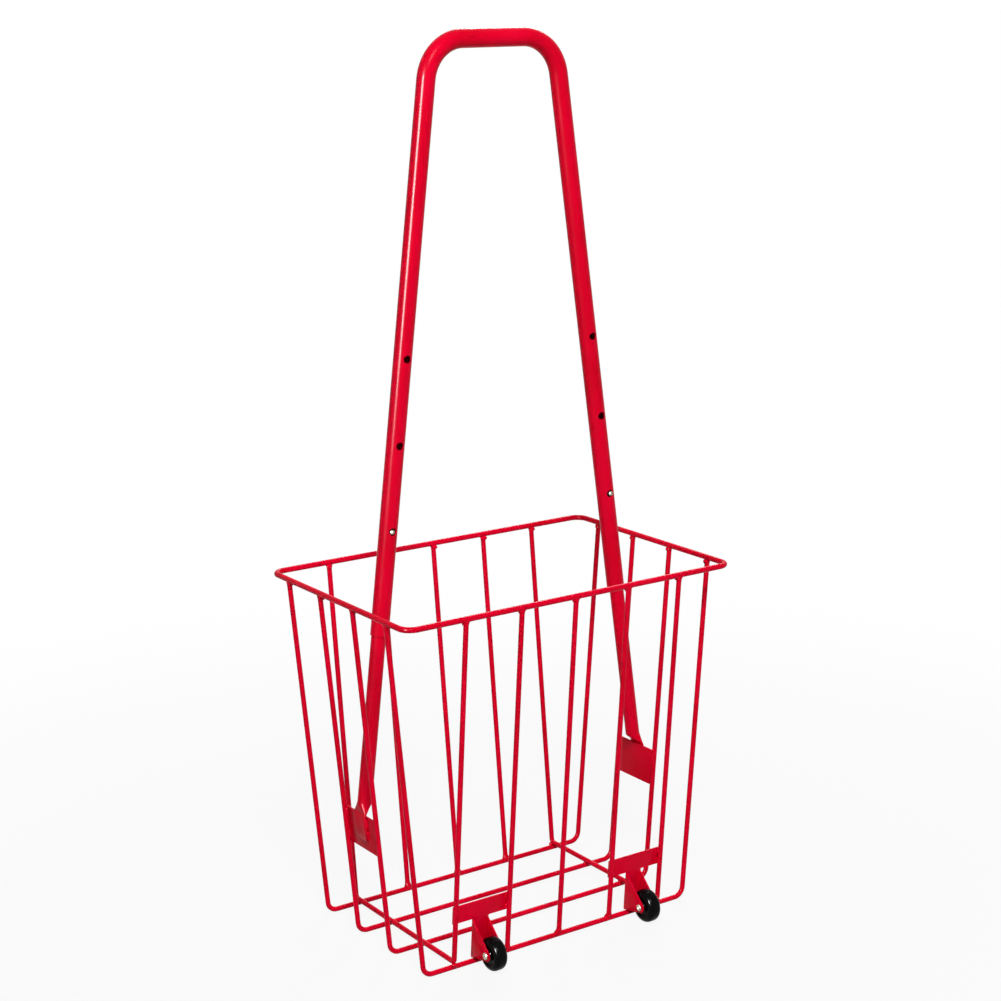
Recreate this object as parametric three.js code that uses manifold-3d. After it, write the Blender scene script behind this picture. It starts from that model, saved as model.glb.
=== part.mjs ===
// A wire tennis ball hopper: a welded basket on two small wheels, with a tall handle
// that slides down over two posts. Millimetres. X runs along the basket's long side,
// +Y to the back, +Z up from the floor. The wheels stand at the front, where Y is negative.
import * as THREE from "three";
import { mergeVertices } from "three/addons/utils/BufferGeometryUtils.js";
import Module from "manifold-3d";

const wasm = await Module();
wasm.setup();

// Clearances
const SEAT_GAP = 0.3; // between pieces that touch or are welded
const CUT_OVERRUN = 2; // how far a cutter or a joined root runs past a face

// Basket wires
const WIRE_D = 5;
const RIM_WIRE_D = 5.5;
const WIRE_SIDES = 8;

// Basket
const RIM_LENGTH = 367; // between the rim wire's centre lines
const RIM_WIDTH = 244;
const RIM_HEIGHT = 350; // from the floor to the rim wire's centre
const RIM_CORNER_R = 12;
const LONG_PITCH = 59; // between long wires, which lie in upright planes
const LONG_BEND_R = 10;
const LONG_OVERHANG = 32.7; // from the outer cross wire to the long wire's corner
const CROSS_PITCH = 60.5;
const CROSS_BEND_R = 4;
const CROSS_OVERHANG = 1.5; // from the outer long wire to the cross wire's corner
const BEND_STEPS = 5;

// Wheel brackets and wheels
const SHEET = 1.5;
const BAR_HEIGHT = 18;
const BAR_Z = 45.5; // lower edge of the bracket's bar
const CHEEK_TIP_R = 5.5;
const WHEEL_D = 32;
const WHEEL_WIDTH = 14;
const WHEEL_LIFT = 0.3; // the wheels hang just clear of the floor
const WHEEL_SIDE_GAP = 0.5;
const WHEEL_SHOULDER_R = 5;
const WHEEL_DISH = 1;
const AXLE_REACH = 23; // from the front long wire forward to the axle
const RIVET_D = 4;
const RIVET_HEAD_D = 7;
const RIVET_HEAD_H = 1.8;
const WHEEL_SIDES = 32;
const RIVET_SIDES = 16;

// Handle tube, from the top bar to the legs' open ends
const HANDLE_HEIGHT = 850; // from the floor to the top bar's centre
const HANDLE_TOP_HALF = 68.6; // from the middle to where bar and leg lines meet
const HANDLE_INSET = 50.5; // from the rim wire in to the leg, at the rim's height
const HANDLE_BEND_R = 40;
const TUBE_D = 17.5;
const TUBE_WALL = 0.8;
const TUBE_SIDES = 16;
const LEG_LENGTH = 511;
const HOLE_D = 7.2;
const HOLE_PITCH = 80;
const HOLE_COUNT = 3;
const LOW_HOLE = 411; // from the leg's top end down to its lowest hole

// Posts inside the legs, and the plates that carry them
const POST_CLEARANCE = 0.9;
const POST_SET = 0.75; // the legs press on the posts, so a post stands this far outward in its leg
const POST_WALL = 1;
const POST_ABOVE_BUTTON = 24;
const POST_HOLE_D = 5.9;
const PLATE_Z = 100.5; // lower edge of the plate
const PLATE_HEIGHT = 36.5;
const PINCH_LENGTH = 11; // from the plate's upper edge up to the round tube
const TAB_Z = 112; // lower end of the flattened tab
const TAB_THICK = 2.4;

// Snap buttons
const BUTTON_D = 5.2;
const BUTTON_PROUD = 1.6;
const CLIP_WIDTH = 6;
const CLIP_THICK = 0.6;
const CLIP_LENGTH = 42;
const CLIP_ABOVE_BUTTON = 6;

// Sizes that follow from those above
const wireR = WIRE_D / 2;
const rimWireR = RIM_WIRE_D / 2;
const longZ = wireR;
const crossZ = longZ + WIRE_D + SEAT_GAP;
const standZ = WIRE_D + SEAT_GAP; // of the pieces that stand on a long wire
const wireTopZ = RIM_HEIGHT - rimWireR - 2 * SEAT_GAP;
const LONG_PLACE_SHARES = [-1.5, -0.5, 0.5, 1.5];
const CROSS_PLACE_SHARES = [-2, -1, 0, 1, 2];
const longYs = LONG_PLACE_SHARES.map((share) => share * LONG_PITCH);
const crossXs = CROSS_PLACE_SHARES.map((share) => share * CROSS_PITCH);
const frontWireY = longYs[0];
const wheelX = (crossXs[3] + crossXs[4]) / 2;
const floorHalfLength = crossXs[4] + LONG_OVERHANG;
const floorHalfWidth = longYs[3] + CROSS_OVERHANG;
const tubeR = TUBE_D / 2;
const boreR = tubeR - TUBE_WALL;
const postR = boreR - POST_CLEARANCE;
const postBoreR = postR - POST_WALL;

const MATERIALS = {
  red: { color: 0xd5082c, roughness: 0.35, metalness: 0.1 },
  black: { color: 0x0b0b0c, roughness: 0.35, metalness: 0 },
  zinc: { color: 0xb9b7a8, roughness: 0.35, metalness: 0.9 },
};

const hopper = new THREE.Group();

function addPiece(name, geometry, material) {
  const mesh = new THREE.Mesh(geometry, new THREE.MeshStandardMaterial(MATERIALS[material]));
  mesh.name = name;
  hopper.add(mesh);
}

// Solids are joined and cut as manifolds.
function solidOf(geometry) {
  const bare = geometry.clone();
  bare.deleteAttribute("normal");
  bare.deleteAttribute("uv");
  const merged = mergeVertices(bare, 1e-4);
  const vertProperties = merged.attributes.position.array;
  const triVerts = new Uint32Array(merged.index.array);
  return new wasm.Manifold(new wasm.Mesh({ numProp: 3, vertProperties, triVerts }));
}

function geometryOf(solid) {
  const mesh = solid.getMesh();
  const geometry = new THREE.BufferGeometry();
  geometry.setAttribute("position", new THREE.BufferAttribute(mesh.vertProperties, 3));
  geometry.setIndex(new THREE.BufferAttribute(mesh.triVerts, 1));
  geometry.computeVertexNormals();
  return geometry;
}

function cut(geometry, cutters) {
  const tools = cutters.map(solidOf);
  return geometryOf(tools.reduce((solid, tool) => solid.subtract(tool), solidOf(geometry)));
}

function join(geometries) {
  const [first, ...rest] = geometries.map(solidOf);
  return geometryOf(rest.reduce((solid, other) => solid.add(other), first));
}

// A polygon whose flat sides touch a circle of the given radius.
function roundSection(radius, sides) {
  const cornerR = radius / Math.cos(Math.PI / sides);
  return Array.from({ length: sides }, (_, i) => {
    const angle = ((i + 0.5) * 2 * Math.PI) / sides;
    return new THREE.Vector2(cornerR * Math.cos(angle), cornerR * Math.sin(angle));
  });
}

// A path through stations that each keep their own direction.
class Route extends THREE.Curve {
  constructor(stations) {
    super();
    this.stations = stations;
  }
  between(key, share, target) {
    const last = this.stations.length - 1;
    const index = Math.min(Math.floor(share * last), last - 1);
    const [from, to] = [this.stations[index][key], this.stations[index + 1][key]];
    return target.copy(from).lerp(to, share * last - index);
  }
  getPoint(share, target = new THREE.Vector3()) {
    return this.between("point", share, target);
  }
  getPointAt(share, target) {
    return this.getPoint(share, target);
  }
  getTangentAt(share, target = new THREE.Vector3()) {
    return this.between("tangent", share, target).normalize();
  }
}

// The stations round one corner, as an arc of the bend radius.
function bendStations(before, corner, after, radius, steps) {
  const into = corner.clone().sub(before).normalize();
  const out = after.clone().sub(corner).normalize();
  const turn = into.angleTo(out);
  const axis = into.clone().cross(out).normalize();
  const start = corner.clone().addScaledVector(into, -radius * Math.tan(turn / 2));
  const spoke = axis.clone().cross(into).multiplyScalar(-radius);
  const centre = start.clone().sub(spoke);
  return Array.from({ length: steps + 1 }, (_, i) => {
    const angle = (turn * i) / steps;
    return {
      point: spoke.clone().applyAxisAngle(axis, angle).add(centre),
      tangent: into.clone().applyAxisAngle(axis, angle),
    };
  });
}

// Stations along straight runs between points, with a bend at each inner point.
function bentStations(points, radius, steps) {
  const last = points.length - 1;
  const stations = [];
  points.forEach((point, i) => {
    if (i > 0 && i < last) {
      stations.push(...bendStations(points[i - 1], point, points[i + 1], radius, steps));
      return;
    }
    const [from, to] = i === 0 ? [point, points[1]] : [points[last - 1], point];
    stations.push({ point, tangent: to.clone().sub(from).normalize() });
  });
  return stations;
}

function tube(stations, radius, sides, innerRadius) {
  const shape = new THREE.Shape(roundSection(radius, sides));
  if (innerRadius) {
    shape.holes.push(new THREE.Path(roundSection(innerRadius, sides).reverse()));
  }
  const steps = stations.length - 1;
  return new THREE.ExtrudeGeometry(shape, { steps, extrudePath: new Route(stations) });
}

function bentTube(points, radius, sides, bendRadius) {
  return tube(bentStations(points, bendRadius, BEND_STEPS), radius, sides);
}

function straightTube(from, to, radius, innerRadius) {
  return tube(bentStations([from, to], 0, 1), radius, TUBE_SIDES, innerRadius);
}

// A closed skin over rings of points, with flat ends unless the last ring meets the first.
function loft(rings, isLoop) {
  const count = rings[0].length;
  const positions = rings.flat().flatMap((point) => point.toArray());
  const faces = [];
  const spans = isLoop ? rings.length : rings.length - 1;
  for (let ring = 0; ring < spans; ring++) {
    const next = (ring + 1) % rings.length;
    for (let i = 0; i < count; i++) {
      const j = (i + 1) % count;
      const [a, b, c, d] = [
        ring * count + i,
        ring * count + j,
        next * count + j,
        next * count + i,
      ];
      faces.push(a, b, c, a, c, d);
    }
  }
  if (!isLoop) {
    const top = (rings.length - 1) * count;
    for (let i = 1; i < count - 1; i++) {
      faces.push(0, i + 1, i, top, top + i, top + i + 1);
    }
  }
  const geometry = new THREE.BufferGeometry();
  geometry.setAttribute("position", new THREE.Float32BufferAttribute(positions, 3));
  geometry.setIndex(faces);
  geometry.computeVertexNormals();
  return geometry;
}

// A plate of an outline drawn in the plane of two directions, thickened along their normal.
function plate(outline, origin, across, up, thickness) {
  const normal = across.clone().cross(up).normalize();
  const geometry = new THREE.ExtrudeGeometry(outline, { depth: thickness, bevelEnabled: false });
  const place = new THREE.Matrix4().makeBasis(across, up, normal).setPosition(origin);
  return geometry.applyMatrix4(place);
}

// A turned piece along X, from an outline of [distance along X, radius].
function turnedAlongX(outline, centre, segments) {
  const profile = outline.map(([along, radius]) => new THREE.Vector2(radius, along));
  const geometry = new THREE.LatheGeometry(profile, segments);
  geometry.rotateZ(-Math.PI / 2);
  return geometry.translate(centre.x, centre.y, centre.z);
}

const QUARTER_SHARES = [0, 0.25, 0.5, 0.75, 1];
const v = (x, y, z) => new THREE.Vector3(x, y, z);
const X_AXIS = v(1, 0, 0);
const Y_AXIS = v(0, 1, 0);
const Z_AXIS = v(0, 0, 1);

// The slanted planes of the wires' centre lines, on the long and the short sides
const frontRise = v(0, floorHalfWidth - RIM_WIDTH / 2, wireTopZ - crossZ).normalize();
const frontInward = v(0, frontRise.z, -frontRise.y);
const sideRise = v(RIM_LENGTH / 2 - floorHalfLength, 0, wireTopZ - longZ).normalize();

function frontPlaneY(z) {
  return -floorHalfWidth + (frontRise.y / frontRise.z) * (z - crossZ);
}

function sidePlaneX(z) {
  return floorHalfLength + (sideRise.x / sideRise.z) * (z - longZ);
}

// Rim: one closed wire
function makeRim() {
  const [x, y] = [RIM_LENGTH / 2, RIM_WIDTH / 2];
  const corners = [v(-x, -y, 0), v(x, -y, 0), v(x, y, 0), v(-x, y, 0)];
  const section = roundSection(rimWireR, WIRE_SIDES);
  const rings = corners.flatMap((corner, i) => {
    const [before, after] = [corners[(i + 3) % 4], corners[(i + 1) % 4]];
    const stations = bendStations(before, corner, after, RIM_CORNER_R, BEND_STEPS);
    return stations.map(({ point, tangent }) => {
      const side = Z_AXIS.clone().cross(tangent);
      return section.map(({ x: out, y: up }) =>
        point.clone().addScaledVector(side, out).addScaledVector(Z_AXIS, up),
      );
    });
  });
  const geometry = loft(rings, true);
  geometry.translate(0, 0, RIM_HEIGHT);
  addPiece("rim_wire", geometry, "red");
}

// Four long wires: their floor runs carry the basket
function makeLongWires() {
  const names = ["front", "front_inner", "back_inner", "back"];
  longYs.forEach((y, i) => {
    const [rimX, floorX] = [RIM_LENGTH / 2, floorHalfLength];
    const points = [
      v(-rimX, y, wireTopZ),
      v(-floorX, y, longZ),
      v(floorX, y, longZ),
      v(rimX, y, wireTopZ),
    ];
    const wire = bentTube(points, wireR, WIRE_SIDES, LONG_BEND_R);
    addPiece(`long_wire_${names[i]}`, wire, "red");
  });
}

// Two cross wires, one near each end: their floor runs lie on the long wires
function makeCrossWires() {
  const [rimY, floorY] = [RIM_WIDTH / 2, floorHalfWidth];
  for (const [side, x] of [["left", crossXs[0]], ["right", crossXs[4]]]) {
    const points = [
      v(x, -rimY, wireTopZ),
      v(x, -floorY, crossZ),
      v(x, floorY, crossZ),
      v(x, rimY, wireTopZ),
    ];
    const wire = bentTube(points, wireR, WIRE_SIDES, CROSS_BEND_R);
    addPiece(`cross_wire_${side}`, wire, "red");
  }
}

// Three wires at the front and three at the back: they stand on the outer long wires
function makeFaceWires() {
  for (const [face, sign] of [["front", -1], ["back", 1]]) {
    ["left", "middle", "right"].forEach((place, i) => {
      const x = crossXs[i + 1];
      const top = v(x, (sign * RIM_WIDTH) / 2, wireTopZ);
      const foot = v(x, -sign * frontPlaneY(standZ), standZ);
      const wire = bentTube([top, foot], wireR, WIRE_SIDES, 0);
      addPiece(`${face}_wire_${place}`, wire, "red");
    });
  }
}

// Wheel brackets: a T-shaped plate inside the front wires, with two cheeks folded forward
const axleY = frontWireY - AXLE_REACH;
const axleZ = WHEEL_D / 2 + WHEEL_LIFT;
const stemHalf = WHEEL_WIDTH / 2 + WHEEL_SIDE_GAP + SHEET;

function bracketPlate(centreX) {
  const barHalf = CROSS_PITCH / 2 + wireR / 2;
  const outline = new THREE.Shape();
  const along = (z) => (z - standZ) / frontRise.z;
  const [barLow, barHigh] = [along(BAR_Z), along(BAR_Z + BAR_HEIGHT)];
  outline.moveTo(-stemHalf, 0);
  outline.lineTo(stemHalf, 0);
  outline.lineTo(stemHalf, barLow);
  outline.lineTo(barHalf, barLow);
  outline.lineTo(barHalf, barHigh);
  outline.lineTo(-barHalf, barHigh);
  outline.lineTo(-barHalf, barLow);
  outline.lineTo(-stemHalf, barLow);
  outline.closePath();
  const origin = v(centreX, frontPlaneY(standZ), standZ);
  origin.addScaledVector(frontInward, wireR + SEAT_GAP + SHEET);
  return plate(outline, origin, X_AXIS, frontRise, SHEET);
}

function bracketCheek(x) {
  const rootY = (z) => frontPlaneY(z) + wireR + SEAT_GAP + SHEET / 2;
  const top = new THREE.Vector2(rootY(BAR_Z), BAR_Z);
  const foot = new THREE.Vector2(rootY(standZ), standZ);
  const axle = new THREE.Vector2(axleY, axleZ);
  // The point of the tip circle that a line from a root corner just touches.
  const touch = (from, side) => {
    const away = from.clone().sub(axle);
    return away.angle() + side * Math.acos(CHEEK_TIP_R / away.length());
  };
  const outline = new THREE.Shape();
  outline.moveTo(foot.x, foot.y);
  outline.lineTo(top.x, top.y);
  const [topAngle, footAngle] = [touch(top, 1), touch(foot, -1)];
  outline.absarc(axle.x, axle.y, CHEEK_TIP_R, topAngle, footAngle, false);
  outline.closePath();
  return plate(outline, v(x, 0, 0), Y_AXIS, Z_AXIS, SHEET);
}

function makeWheelAndBracket(side, centreX) {
  const axle = v(centreX, axleY, axleZ);
  const boltR = RIVET_D / 2 + SEAT_GAP;
  const reach = stemHalf + CUT_OVERRUN;
  const boreOutline = [
    [-reach, 0],
    [-reach, boltR],
    [reach, boltR],
    [reach, 0],
  ];
  const bore = turnedAlongX(boreOutline, axle, RIVET_SIDES);
  const cheeks = [centreX - stemHalf, centreX + stemHalf - SHEET].map(bracketCheek);
  addPiece(`wheel_bracket_${side}`, cut(join([bracketPlate(centreX), ...cheeks]), [bore]), "red");

  const half = WHEEL_WIDTH / 2;
  const [outR, hubR] = [WHEEL_D / 2, RIVET_HEAD_D / 2 + WHEEL_DISH];
  const dishR = outR - WHEEL_SHOULDER_R - WHEEL_DISH;
  const shoulder = QUARTER_SHARES.map((share) => {
    const angle = (share * Math.PI) / 2;
    const along = half - WHEEL_SHOULDER_R + WHEEL_SHOULDER_R * Math.cos(angle);
    return [along, outR - WHEEL_SHOULDER_R + WHEEL_SHOULDER_R * Math.sin(angle)];
  });
  const halfOutline = [
    [half, boltR],
    [half, hubR],
    [half - WHEEL_DISH, hubR + WHEEL_DISH],
    [half - WHEEL_DISH, dishR],
    ...shoulder,
  ];
  const otherHalf = halfOutline.map(([along, radius]) => [-along, radius]);
  const outline = [...otherHalf, ...halfOutline.reverse(), otherHalf[0]];
  addPiece(`wheel_${side}`, turnedAlongX(outline, axle, WHEEL_SIDES), "black");

  const [shankR, headR] = [RIVET_D / 2, RIVET_HEAD_D / 2];
  const headX = stemHalf + SEAT_GAP;
  const head = [
    [headX, shankR],
    [headX, headR],
    [headX + RIVET_HEAD_H / 2, headR],
    [headX + RIVET_HEAD_H, headR / 2],
    [headX + RIVET_HEAD_H, 0],
  ];
  const otherHead = head.map(([along, radius]) => [-along, radius]).reverse();
  const rivet = turnedAlongX([...otherHead, ...head], axle, RIVET_SIDES);
  addPiece(`wheel_rivet_${side}`, rivet, "zinc");
}

// Post plates: between the two inner long wires of each short side, level with their inner sides
const tabOffset = wireR - SHEET - SEAT_GAP - TAB_THICK / 2; // inward from the wires' plane
const plateTopZ = PLATE_Z + PLATE_HEIGHT;

function makePostPlate(side, sign) {
  const half = LONG_PITCH / 2 - wireR - SEAT_GAP;
  const outline = new THREE.Shape();
  const height = PLATE_HEIGHT / sideRise.z;
  outline.moveTo(-half, 0);
  outline.lineTo(half, 0);
  outline.lineTo(half, height);
  outline.lineTo(-half, height);
  outline.closePath();
  const rise = v(sign * sideRise.x, 0, sideRise.z);
  const inward = v(-sign * sideRise.z, 0, sideRise.x);
  const origin = v(sign * sidePlaneX(PLATE_Z), 0, PLATE_Z);
  origin.addScaledVector(inward, wireR - SHEET);
  const across = rise.clone().cross(inward);
  addPiece(`post_plate_${side}`, plate(outline, origin, across, rise, SHEET), "red");
}

// The leg line of one side: from the corner of bar and leg down through the rim's height
const legRimX = RIM_LENGTH / 2 - HANDLE_INSET;
const legDown = v(legRimX - HANDLE_TOP_HALF, 0, RIM_HEIGHT - HANDLE_HEIGHT).normalize();
const legOutward = v(-legDown.z, 0, legDown.x);
const bendTangent = HANDLE_BEND_R * Math.tan((Math.PI / 2 - Math.asin(legDown.x)) / 2);
const legTop = v(HANDLE_TOP_HALF, 0, HANDLE_HEIGHT).addScaledVector(legDown, bendTangent);
const mirrored = (point, sign) => v(sign * point.x, point.y, point.z);
const alongLeg = (distance) => legTop.clone().addScaledVector(legDown, distance);
const alongPost = (distance) => alongLeg(distance).addScaledVector(legOutward, POST_SET);

function makeHandle() {
  const corner = v(HANDLE_TOP_HALF, 0, HANDLE_HEIGHT);
  const points = [legTop, corner, mirrored(corner, -1), mirrored(legTop, -1)];
  const grip = tube(bentStations(points, HANDLE_BEND_R, 2 * BEND_STEPS), tubeR, TUBE_SIDES, boreR);
  addPiece("handle_grip", grip, "red");
}

// A cutter that goes through the front wall alone.
function frontCutter(centre, radius) {
  const cutter = new THREE.CylinderGeometry(radius, radius, tubeR + CUT_OVERRUN, TUBE_SIDES);
  return cutter.translate(centre.x, -(tubeR + CUT_OVERRUN) / 2, centre.z);
}

function makeLeg(side, sign) {
  const top = mirrored(alongLeg(SEAT_GAP), sign);
  const end = mirrored(alongLeg(LEG_LENGTH), sign);
  const leg = straightTube(top, end, tubeR, boreR);
  const holes = Array.from({ length: HOLE_COUNT }, (_, i) => {
    const centre = mirrored(alongLeg(LOW_HOLE - i * HOLE_PITCH), sign);
    return frontCutter(centre, HOLE_D / 2);
  });
  addPiece(`handle_leg_${side}`, cut(leg, holes), "red");
}

// A post: a tube whose lower end is pinched into a flat tab that lies on the plate's outer face
const postTop = LOW_HOLE - POST_ABOVE_BUTTON;

function makePost(side, sign) {
  const pinchAlong = (legTop.z - plateTopZ - PINCH_LENGTH) / -legDown.z;
  const tabPoint = (z) => v(sidePlaneX(z) - tabOffset / sideRise.z, 0, z);
  const tabHalf = (Math.PI * (postR - POST_WALL / 2)) / 2;
  const sideDown = v(-sideRise.x, 0, -sideRise.z);
  const ring = (centre, down, halfWidth, halfThick, squareness) => {
    const out = v(-down.z, 0, down.x);
    const cornerShare = 1 / Math.cos(Math.PI / TUBE_SIDES);
    return Array.from({ length: TUBE_SIDES }, (_, i) => {
      const angle = ((i + 0.5) * 2 * Math.PI) / TUBE_SIDES;
      const bulge = (share) => Math.sign(share) * Math.abs(share) ** squareness;
      const across = halfWidth * cornerShare * bulge(Math.cos(angle));
      const thick = halfThick * cornerShare * bulge(Math.sin(angle));
      const point = centre.clone().addScaledVector(Y_AXIS, across).addScaledVector(out, thick);
      return mirrored(point, sign);
    });
  };
  const rings = [
    ring(alongPost(postTop), legDown, postR, postR, 1),
    ring(alongPost(pinchAlong), legDown, postR, postR, 1),
  ];
  const [from, to] = [alongPost(pinchAlong), tabPoint(plateTopZ)];
  for (const share of QUARTER_SHARES.slice(1)) {
    const ease = share * share * (3 - 2 * share);
    const down = legDown.clone().lerp(sideDown, ease).normalize();
    const halfWidth = postR + (tabHalf - postR) * ease;
    const halfThick = postR + (TAB_THICK / 2 - postR) * ease;
    rings.push(ring(from.clone().lerp(to, share), down, halfWidth, halfThick, 1 - ease / 2));
  }
  rings.push(ring(tabPoint(TAB_Z), sideDown, tabHalf, TAB_THICK / 2, 1 / 2));
  if (sign < 0) {
    rings.forEach((points) => points.reverse());
  }
  const boreEnd = pinchAlong - TAB_THICK;
  const [boreFrom, boreTo] = [alongPost(postTop - CUT_OVERRUN), alongPost(boreEnd)];
  const bore = straightTube(mirrored(boreFrom, sign), mirrored(boreTo, sign), postBoreR);
  const hole = frontCutter(mirrored(alongPost(LOW_HOLE), sign), POST_HOLE_D / 2);
  addPiece(`post_${side}`, cut(loft(rings, false), [bore, hole]), "red");
}

// A snap button on its V-shaped spring, inside the post
function makeSnapButton(side, sign) {
  const inner = Math.sqrt(postBoreR ** 2 - (CLIP_WIDTH / 2) ** 2) - SEAT_GAP;
  const outline = new THREE.Shape();
  outline.moveTo(-inner, 0);
  outline.lineTo(-2 * CLIP_THICK, CLIP_LENGTH);
  outline.lineTo(2 * CLIP_THICK, CLIP_LENGTH);
  outline.lineTo(inner, 0);
  outline.lineTo(inner - CLIP_THICK, 0);
  outline.lineTo(CLIP_THICK, CLIP_LENGTH - CLIP_THICK);
  outline.lineTo(-CLIP_THICK, CLIP_LENGTH - CLIP_THICK);
  outline.lineTo(CLIP_THICK - inner, 0);
  outline.closePath();
  const down = mirrored(legDown, sign);
  const across = Y_AXIS.clone().cross(down);
  const origin = mirrored(alongPost(LOW_HOLE - CLIP_ABOVE_BUTTON), sign);
  origin.addScaledVector(across, -CLIP_WIDTH / 2);
  const spring = plate(outline, origin, Y_AXIS, down, CLIP_WIDTH);

  const buttonR = BUTTON_D / 2;
  const root = inner - CLIP_THICK;
  const dome = QUARTER_SHARES.slice(0, -1).map((share) => {
    const angle = (share * Math.PI) / 2;
    return [buttonR * Math.cos(angle), tubeR + BUTTON_PROUD * Math.sin(angle)];
  });
  const profile = [[0, root], [buttonR, root], ...dome, [0, tubeR + BUTTON_PROUD]];
  const points = profile.map(([radius, height]) => new THREE.Vector2(radius, height));
  const button = new THREE.LatheGeometry(points, TUBE_SIDES);
  button.rotateX(-Math.PI);
  const centre = mirrored(alongPost(LOW_HOLE), sign);
  button.translate(centre.x, 0, centre.z);
  addPiece(`snap_button_${side}`, join([spring, button]), "zinc");
}

makeRim();
makeLongWires();
makeCrossWires();
makeFaceWires();
makeHandle();
for (const [side, sign] of [["left", -1], ["right", 1]]) {
  makeWheelAndBracket(side, sign * wheelX);
  makePostPlate(side, sign);
  makeLeg(side, sign);
  makePost(side, sign);
  makeSnapButton(side, sign);
}

export default hopper;
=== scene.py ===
import math

import bmesh
import bpy
from mathutils import Matrix, Vector, noise
from mathutils.geometry import tessellate_polygon


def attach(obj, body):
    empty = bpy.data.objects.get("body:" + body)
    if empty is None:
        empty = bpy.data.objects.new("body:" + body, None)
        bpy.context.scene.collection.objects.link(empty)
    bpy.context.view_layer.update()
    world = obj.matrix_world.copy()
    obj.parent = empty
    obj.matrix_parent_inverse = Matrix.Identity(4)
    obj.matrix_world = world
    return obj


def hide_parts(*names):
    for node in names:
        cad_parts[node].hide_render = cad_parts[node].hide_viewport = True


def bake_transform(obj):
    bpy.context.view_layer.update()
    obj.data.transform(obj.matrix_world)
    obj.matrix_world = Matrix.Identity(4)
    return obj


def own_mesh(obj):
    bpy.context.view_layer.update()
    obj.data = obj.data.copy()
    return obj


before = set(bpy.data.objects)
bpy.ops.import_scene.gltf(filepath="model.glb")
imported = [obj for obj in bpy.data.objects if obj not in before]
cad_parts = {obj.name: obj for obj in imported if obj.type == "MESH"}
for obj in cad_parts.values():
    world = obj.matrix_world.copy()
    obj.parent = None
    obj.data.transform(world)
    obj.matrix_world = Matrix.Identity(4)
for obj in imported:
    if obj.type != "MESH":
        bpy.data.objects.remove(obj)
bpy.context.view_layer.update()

MM = 0.001
SIDES = (("left", -1), ("right", 1))
X_AXIS = Vector((1, 0, 0))
Y_AXIS = Vector((0, 1, 0))
Z_AXIS = Vector((0, 0, 1))

# Sizes, the same as in the frame
GAP = 0.3 * MM
SHEET = 1.5 * MM
WIRE_R = 2.5 * MM
RIM_WIRE_R = 2.75 * MM
RIM_HALF_LENGTH = 183.5 * MM
RIM_HALF_WIDTH = 122 * MM
RIM_CORNER_R = 12 * MM
RIM_Z = 350 * MM
WIRE_TOP_Z = 346.65 * MM
FLOOR_HALF_LENGTH = 153.7 * MM
FLOOR_HALF_WIDTH = 90 * MM
LONG_PITCH = 59 * MM
LONG_BEND_R = 10 * MM
LONG_Z = 2.5 * MM
CROSS_PITCH = 60.5 * MM
CROSS_BEND_R = 4 * MM
CROSS_Z = 7.8 * MM
TUBE_R = 8.75 * MM
BORE_R = 7.95 * MM
HANDLE_Z = 850 * MM
HANDLE_TOP_HALF = 68.6 * MM
HANDLE_BEND_R = 40 * MM
LEG_RIM_X = 133 * MM
LEG_LENGTH = 511 * MM
HOLE_R = 3.6 * MM
HOLE_PITCH = 80 * MM
LOW_HOLE = 411 * MM
POST_R = 7.05 * MM
POST_BORE_R = 6.05 * MM
POST_SET = 0.75 * MM
POST_TOP = 387 * MM
PINCH_LENGTH = 11 * MM
TAB_Z = 112 * MM
TAB_THICK = 2.4 * MM
TAB_HALF_WIDTH = 10.29 * MM
PLATE_Z = 100.5 * MM
PLATE_HEIGHT = 36.5 * MM
BAR_Z = 45.5 * MM
BAR_HEIGHT = 18 * MM
STEM_HALF = 9 * MM
CHEEK_TIP_R = 5.5 * MM
WHEEL_R = 16 * MM
WHEEL_HALF = 7 * MM
AXLE_Y = -111.5 * MM
AXLE_Z = 16.3 * MM
RIVET_R = 2 * MM
BUTTON_R = 2.6 * MM
BUTTON_PROUD = 1.6 * MM
CLIP_HALF_WIDTH = 3 * MM
CLIP_THICK = 0.6 * MM
CLIP_LENGTH = 42 * MM
CLIP_ABOVE_BUTTON = 6 * MM

# Places that follow from them
STAND_Z = 2 * WIRE_R + GAP  # of what stands on a long wire
LONG_YS = [step * LONG_PITCH for step in (-1.5, -0.5, 0.5, 1.5)]
CROSS_XS = [step * CROSS_PITCH for step in (-2, -1, 0, 1, 2)]
WHEEL_X = 1.5 * CROSS_PITCH
PLATE_TOP_Z = PLATE_Z + PLATE_HEIGHT


# The slanted planes of the wires' centre lines
def front_y(z):
    return -(FLOOR_HALF_WIDTH + (RIM_HALF_WIDTH - FLOOR_HALF_WIDTH) * (z - CROSS_Z) / (WIRE_TOP_Z - CROSS_Z))


def side_x(z):
    return FLOOR_HALF_LENGTH + (RIM_HALF_LENGTH - FLOOR_HALF_LENGTH) * (z - LONG_Z) / (WIRE_TOP_Z - LONG_Z)


FRONT_RISE = Vector((0, front_y(1) - front_y(0), 1)).normalized()
SIDE_RISE = Vector((side_x(1) - side_x(0), 0, 1)).normalized()


# Meshes
WIRE_SIDES = 14
RIM_SIDES = 16
TUBE_SIDES = 32
BEND_STEPS = 9
SHARP_ANGLE = 40


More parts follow.
